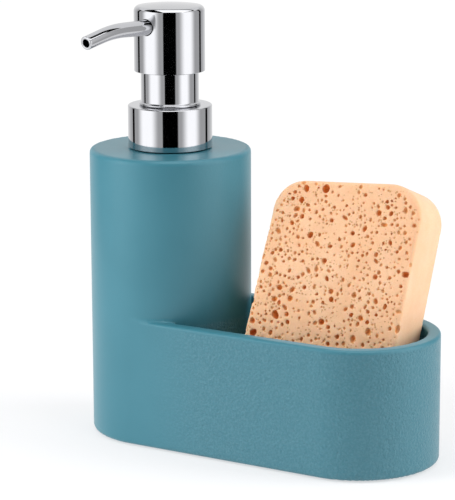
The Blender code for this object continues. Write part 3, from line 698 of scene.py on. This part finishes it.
def spout_cutter():
    """The hole that the spout passes through in the head's side."""
    bm = bmesh.new()
    r = (SPOUT_ROOT_R + SPOUT_CLEARANCE) * MM
    bmesh.ops.create_cone(bm, cap_ends=True, segments=72, radius1=r, radius2=r, depth=12.0 * MM)
    mesh = bpy.data.meshes.new("spout_cutter")
    bm.to_mesh(mesh)
    bm.free()
    tool = bpy.data.objects.new("spout_cutter", mesh)
    bpy.context.scene.collection.objects.link(tool)
    rise = math.radians(SPOUT_RISE)
    outward = Matrix(spout_matrix()) @ Vector((math.cos(rise), 0.0, math.sin(rise)))
    middle = Matrix(spout_matrix()) @ Vector((HEAD_R, 0.0, SPOUT_HEIGHT))
    tool.matrix_world = Matrix.Translation(middle * MM) @ outward.to_track_quat("Z", "Y").to_matrix().to_4x4()
    return tool


def make_head(mat):
    """Chromed cover with a rounded shoulder and a low dome."""
    inner_r = HEAD_R - HEAD_WALL
    shoulder = arc(HEAD_R - HEAD_ROUND, HEAD_ROUND_CENTRE, HEAD_ROUND, 0, HEAD_ROUND_SWEEP, 16)
    edge_r, edge_z = shoulder[-1]
    pole_r = 0.05
    dome = [(edge_r * s, HEAD_HIGH.z - (HEAD_HIGH.z - edge_z) * s * s) for s in np.linspace(0.97, 0.03, 24)]
    low = HEAD_LOW.z
    profile = [(pole_r, CORE_TOP + 0.3), (inner_r - 1.5, CORE_TOP + 0.3), (inner_r, CORE_TOP - 1.4)]
    profile += rim_edge(inner_r, HEAD_R, low)
    profile += shoulder + dome + [(pole_r, HEAD_HIGH.z)]
    obj = turned("chrome_head", profile[::-1], mat)
    close_poles(obj, pole_r)
    cut(obj, spout_cutter())
    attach(obj, "head")
    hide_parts("head_shell")


def close_poles(obj, pole_r):
    """Removes the thin tube left along the axis, and closes the dome and the ceiling there."""
    bm = bmesh.new()
    bm.from_mesh(obj.data)
    reach = pole_r * 1.01 * MM
    near = [v for v in bm.verts if math.hypot(v.co.x, v.co.y) < reach]
    tube = [f for f in bm.faces if all(math.hypot(v.co.x, v.co.y) < reach for v in f.verts)]
    bmesh.ops.delete(bm, geom=tube, context="FACES_ONLY")
    loose = [v for v in near if v.is_valid and not v.link_faces]
    bmesh.ops.delete(bm, geom=loose, context="VERTS")
    rim = [e for e in bm.edges if e.is_boundary]
    bmesh.ops.holes_fill(bm, edges=rim, sides=0)
    bmesh.ops.recalc_face_normals(bm, faces=bm.faces)
    bm.to_mesh(obj.data)
    bm.free()


def value_noise(points, size, seed):
    """Smooth noise between -1 and 1 with lumps of the given size."""
    lattice = np.random.default_rng(seed).uniform(-1, 1, (32, 32, 32))
    scaled = points / size + 500.0
    cell = np.floor(scaled).astype(int)
    f = scaled - cell
    f = f * f * (3 - 2 * f)
    total = np.zeros(len(points))
    for corner in itertools.product((0, 1), repeat=3):
        weight = np.prod(np.where(corner, f, 1 - f), axis=1)
        i, j, k = ((cell + corner) % 32).T
        total += weight * lattice[i, j, k]
    return total


def sponge_corners():
    """Centres of the sponge outline's corner arcs, in its own XZ plane."""
    half_h = SPONGE_HEIGHT / 2
    top_half = SPONGE_WIDTH / 2 * (1 - SPONGE_TAPER)
    low_half = SPONGE_WIDTH / 2 * (1 + SPONGE_TAPER)
    skew = math.tan(math.radians(SPONGE_TOP_SKEW)) * top_half
    corners = [
        Vector((low_half, -half_h)),
        Vector((top_half, half_h + skew)),
        Vector((-top_half, half_h - skew)),
        Vector((-low_half, -half_h)),
    ]
    centres = []
    for i, corner in enumerate(corners):
        before = (corners[i - 1] - corner).normalized()
        after = (corners[(i + 1) % 4] - corner).normalized()
        half_angle = before.angle(after) / 2
        centres.append(corner + (before + after).normalized() * (SPONGE_CORNER_R / math.sin(half_angle)))
    return centres


def outline_distance(x, z, centres):
    """Distance to the rounded four-sided outline around the corner centres."""
    near = np.full(x.shape, np.inf)
    inside = np.ones(x.shape, bool)
    for a, b in zip(centres, centres[1:] + centres[:1]):
        run = b - a
        share = np.clip(((x - a.x) * run.x + (z - a.y) * run.y) / run.length_squared, 0, 1)
        near = np.minimum(near, np.hypot(x - a.x - share * run.x, z - a.y - share * run.y))
        inside &= (x - a.x) * run.y - (z - a.y) * run.x < 0
    return np.where(inside, -near, near) - SPONGE_CORNER_R


def sponge_block(points, centres):
    """Distance to the sponge before its pores, with a slightly uneven cut face."""
    x, y, z = points.T
    side = outline_distance(x, z, centres)
    face = np.abs(y) - SPONGE_THICKNESS / 2
    uneven = 0.16 * value_noise(points, 5.0, SEED) + 0.1 * value_noise(points, 1.7, SEED + 1)
    rough = np.clip((-side - 0.5) / 3.0, 0, 1) + np.clip((-x - 24.0) / 8.0, 0, 1)
    worn = np.maximum(uneven * np.clip(rough, 0.12, 1.0) + 0.16, 0.0)
    return round_max(side, face, SPONGE_EDGE_ROUND) + worn


def place_pores(rng, half):
    """Centres, radii and stretches of pores that keep clear of each other, from large to small."""
    spots = np.empty((0, 4))
    pores = []
    for count, small, large in PORE_SIZES:
        for _ in range(count):
            radius = rng.uniform(small, large)
            stretch = 1.0 + 0.8 * rng.random() ** 2
            where = rng.uniform(-1, 1, 3) * half
            if rng.random() < 0.12:
                where[0] = -half[0] * rng.uniform(0.55, 1.0)
            sink = FACE_SINK + rng.uniform(-0.2, 0.5) * radius
            if rng.random() < 0.1:
                where[0] = sink - half[0]
            else:
                where[1] = math.copysign(half[1] - sink, where[1])
            apart = np.linalg.norm(spots[:, :3] - where, axis=1) - spots[:, 3]
            if len(spots) and apart.min() < radius * stretch + PORE_GAP:
                continue
            spots = np.vstack([spots, (*where, radius * stretch)])
            pores.append((where, radius, stretch))
    return pores


def carve_pores(values, origin, step):
    """Cuts lumpy ellipsoid pores into both broad faces and the left edge."""
    rng = np.random.default_rng(SEED)
    axes = [origin[n] + step * np.arange(values.shape[n]) for n in range(3)]
    half = np.array([SPONGE_WIDTH, SPONGE_THICKNESS, SPONGE_HEIGHT]) / 2
    for where, radius, stretch in place_pores(rng, half):
        spin = Matrix.Rotation(rng.normal(0.0, 0.55), 3, "Y")
        shape = np.diag([1 / radius, 1 / (radius * 1.3), 1 / (radius * stretch)]) @ np.array(spin)
        reach = radius * 2.1
        spans = [np.searchsorted(axes[n], (where[n] - reach, where[n] + reach)) for n in range(3)]
        window = tuple(slice(a, b) for a, b in spans)
        grid = np.stack(np.meshgrid(*(axes[n][window[n]] for n in range(3)), indexing="ij"), -1)
        if grid.size == 0:
            continue
        lump = 1.0 + 0.18 * value_noise(grid.reshape(-1, 3), radius * 0.9, SEED + 2).reshape(grid.shape[:3])
        pore = (np.linalg.norm((grid - where) @ shape.T, axis=-1) - lump) * radius
        values[window] = np.maximum(values[window], -pore)
    return values


def make_sponge(mat):
    """Cellulose sponge with real pores, leaning in the trough."""
    centres = sponge_corners()

    def block(points):
        return sponge_block(points, centres)

    reach = np.array([SPONGE_WIDTH / 2 + 1, SPONGE_THICKNESS / 2 + 1, SPONGE_HEIGHT / 2 + 5])
    values, origin = sample(block, -reach, reach, SPONGE_STEP)
    values = carve_pores(values, origin, SPONGE_STEP)
    points, faces = surface_net(values, origin, SPONGE_STEP)
    obj = mesh_from("cellulose_sponge", points, faces, mat)
    thin = obj.modifiers.new("thin", "DECIMATE")
    thin.ratio = min(1.0, SPONGE_FACES / (2 * len(faces)))
    sharpen(evaluated(obj), 50.0)
    local = np.empty(len(obj.data.vertices) * 3, np.float32)
    obj.data.vertices.foreach_get("co", local)
    local = local.reshape(-1, 3).astype(float) / MM
    # depth below the block's surface, by which the material paints shade into the pores
    depth = obj.data.attributes.new("depth", "FLOAT", "POINT")
    depth.data.foreach_set("value", -block(local))
    side = outline_distance(local[:, 0], local[:, 2], centres)
    broad = np.clip((-side - 0.8) / 1.2, 0, 1)
    left = np.clip((-local[:, 0] - SPONGE_WIDTH * 0.40) / 3.0, 0, 1)
    # where the specks, with their painted shade, may show
    porous = obj.data.attributes.new("porous", "FLOAT", "POINT")
    porous.data.foreach_set("value", np.maximum(broad, left))
    place = sponge_place()
    obj.data.transform(place)
    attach(obj, "sponge")
    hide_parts("sponge")
    obj.visible_glossy = False  # keeps its orange out of the collar


def sponge_place():
    """The sponge's lean: sideways, backward and about Z, as the CAD's."""
    backward, sideways, turn = (math.radians(a) for a in SPONGE_TILT)
    lean = Matrix.Rotation(backward, 4, "X") @ Matrix.Rotation(sideways, 4, "Y")
    return Matrix.Translation(SPONGE_CENTRE * MM) @ Matrix.Rotation(turn, 4, "Z") @ lean


def finish_hidden_parts():
    """Gives every CAD node that stays shown its own material and smooth shading."""
    black = plastic_material("black_polypropylene", (0.022, 0.022, 0.024), (0.03, 0.03, 0.032), 0.35)
    white = plastic_material("natural_polypropylene", (0.72, 0.72, 0.70), (0.82, 0.82, 0.80), 0.3)
    tube = tube_material()
    steel = steel_material()
    # the second colour is the painted shade in the foam's pits
    gasket = foam_material("white_foam", (0.75, 0.75, 0.73), (0.50, 0.50, 0.48), 0.5)
    looks = {
        "neck_insert": black,
        "closure_cap": black,
        "pump_housing": white,
        "housing_cap": white,
        "ball_cage": white,
        "piston_seat": white,
        "stem": white,
        "actuator_core": white,
        "dip_tube": tube,
        "piston": tube,
        "return_spring": steel,
        "inlet_ball": steel,
        "neck_gasket": gasket,
    }
    for name, mat in looks.items():
        node = frame["nodes"][name]
        node.data.materials.clear()
        node.data.materials.append(mat)
        if "custom_normal" in node.data.attributes:
            node.data.attributes.remove(node.data.attributes["custom_normal"])
        node.data.shade_smooth()
        weld = node.modifiers.new("weld", "WELD")
        weld.merge_threshold = 0.000002
        split = node.modifiers.new("split", "EDGE_SPLIT")
        split.split_angle = math.radians(35)


# ---- studio ----------------------------------------------------------------------------------------


def make_camera():
    back = (CAMERA_PLACE - CAMERA_TARGET).normalized()
    right = Vector((-back.y, back.x, 0.0)).normalized()
    up = back.cross(right)
    roll = math.radians(CAMERA_ROLL)
    axes = (right * math.cos(roll) + up * math.sin(roll), up * math.cos(roll) - right * math.sin(roll), back)
    data = bpy.data.cameras.new("camera")
    data.lens = CAMERA_LENS
    data.sensor_width = 36.0
    camera = bpy.data.objects.new("camera", data)
    bpy.context.scene.collection.objects.link(camera)
    turn = Matrix(axes).transposed().to_4x4()
    camera.matrix_world = Matrix.Translation(CAMERA_PLACE * MM) @ turn
    data.clip_start, data.clip_end = 0.05, 50.0
    bpy.context.scene.camera = camera


def flat_emission(name, colour, strength):
    mat = bpy.data.materials.new(name)
    mat.use_nodes = True
    tree = mat.node_tree
    tree.nodes.clear()
    glow = add_node(tree, "ShaderNodeEmission", {"Color": (*colour, 1.0), "Strength": strength})
    add_node(tree, "ShaderNodeOutputMaterial", {"Surface": glow.outputs[0]})
    return mat


def camera_side():
    """Azimuth of the camera as seen from the pump's axis."""
    return math.atan2(CAMERA_PLACE.y, CAMERA_PLACE.x)


def drum_glow(azimuths):
    """The drum's radiance: an even surround, soft boxes that fade at their edges, and black flags."""
    def away(centre):
        return np.abs((azimuths - centre + 180.0) % 360.0 - 180.0)

    level = np.full(azimuths.shape, SURROUND)
    for centre, half, falloff, extra in SOFT_BOXES:
        share = np.clip(1.0 - (away(centre) - half) / falloff, 0.0, 1.0)
        level += extra * share**2 * (3 - 2 * share)
    for centre, half in FLAGS:
        level *= np.clip((away(centre) - half) / FLAG_EDGE, 0.0, 1.0)
    return level


def make_drum(mat):
    """Upright drum of soft boxes and dark flags round the object, which only reflections see."""
    azimuths = np.arange(-180.0, 181.0, 1.5)
    points = []
    for a in np.radians(azimuths) + camera_side():
        for z in (0.0, DRUM_HEIGHT):
            points.append((DRUM_R * math.cos(a), DRUM_R * math.sin(a), z))
    faces = [(i, i + 2, i + 3, i + 1) for i in range(0, len(points) - 2, 2)]
    drum = mesh_from("drum", points, faces, mat)
    glow = drum.data.attributes.new("glow", "FLOAT", "POINT")
    glow.data.foreach_set("value", np.repeat(drum_glow(azimuths), 2))
    reflected_only(drum)


def panel(name, right, forward, height, mat):
    """A level panel that only reflections see, with spans to the camera's right and towards it."""
    a = camera_side()
    ahead = np.array([math.cos(a), math.sin(a), 0.0])
    across = np.array([-math.sin(a), math.cos(a), 0.0])
    spots = ((0, 0), (1, 0), (1, 1), (0, 1))
    points = [across * right[i] + ahead * forward[j] + (0.0, 0.0, height) for i, j in spots]
    reflected_only(mesh_from(name, points, [(0, 1, 2, 3)], mat))


def make_backdrop(mat):
    """White surround, seen by the camera and in reflections, that gives no light of its own."""
    bm = bmesh.new()
    bmesh.ops.create_uvsphere(bm, u_segments=48, v_segments=24, radius=8.0)
    mesh = bpy.data.meshes.new("backdrop")
    bm.to_mesh(mesh)
    bm.free()
    backdrop = new_object("backdrop", mesh, mat)
    reflected_only(backdrop)
    backdrop.visible_camera = True


def reflected_only(obj):
    obj.visible_camera = False
    obj.visible_diffuse = False
    obj.visible_shadow = False
    obj.visible_transmission = False


def make_light(name, azimuth, elevation, distance, size, power):
    """A soft area light aimed at the object; azimuth is measured from the camera's side."""
    data = bpy.data.lights.new(name, "AREA")
    data.shape = "RECTANGLE"
    data.size, data.size_y = size[0] * MM, size[1] * MM
    data.energy = power
    a, e = camera_side() + math.radians(azimuth), math.radians(elevation)
    outward = Vector((math.cos(a) * math.cos(e), math.sin(a) * math.cos(e), math.sin(e)))
    light = bpy.data.objects.new(name, data)
    light.location = (CAMERA_TARGET + outward * distance) * MM
    light.rotation_mode = "QUATERNION"
    light.rotation_quaternion = outward.to_track_quat("Z", "Y")
    light.visible_glossy = False
    light.visible_camera = False
    bpy.context.scene.collection.objects.link(light)


def make_studio():
    scene = bpy.context.scene
    scene.view_settings.view_transform = "Standard"
    scene.world = bpy.data.worlds.new("studio")
    scene.world.use_nodes = True
    sky = scene.world.node_tree.nodes["Background"]
    sky.inputs["Color"].default_value = (1.0, 1.0, 1.0, 1.0)
    sky.inputs["Strength"].default_value = AMBIENT
    reach = FLOOR_REACH
    points = [(-reach, -reach, 0), (reach, -reach, 0), (reach, reach, 0), (-reach, reach, 0)]
    mesh_from("floor", points, [(0, 1, 2, 3)], floor_material())
    glow = flat_emission("drum_glow", (1.0, 1.0, 1.0), 1.0)
    level = add_node(glow.node_tree, "ShaderNodeAttribute", attribute_name="glow").outputs["Fac"]
    glow.node_tree.links.new(level, glow.node_tree.nodes["Emission"].inputs["Strength"])
    make_drum(glow)
    make_backdrop(flat_emission("backdrop_white", (1.0, 1.0, 1.0), 1.0))
    panel("ceiling", (-1100.0, 1100.0), (-260.0, 1700.0), 900.0, flat_emission("flag_black", (0, 0, 0), 0.0))
    bright = flat_emission("ceiling_glow", (1.0, 1.0, 1.0), 1.9)
    panel("ceiling_box", (-330.0, 900.0), (-85.0, 800.0), 880.0, bright)
    for row in LIGHTS:
        make_light(*row)


def main():
    make_camera()
    make_studio()
    chrome = chrome_material()
    make_casting(ceramic_material())
    # the second colour is the painted shade in the foam's pits
    make_pad(foam_material("black_foam", (0.035, 0.035, 0.038), (0.012, 0.012, 0.013), 0.9))
    make_collar(chrome)
    make_sleeve(chrome)
    make_spout(chrome)
    make_head(chrome)
    make_sponge(sponge_material())
    finish_hidden_parts()


main()
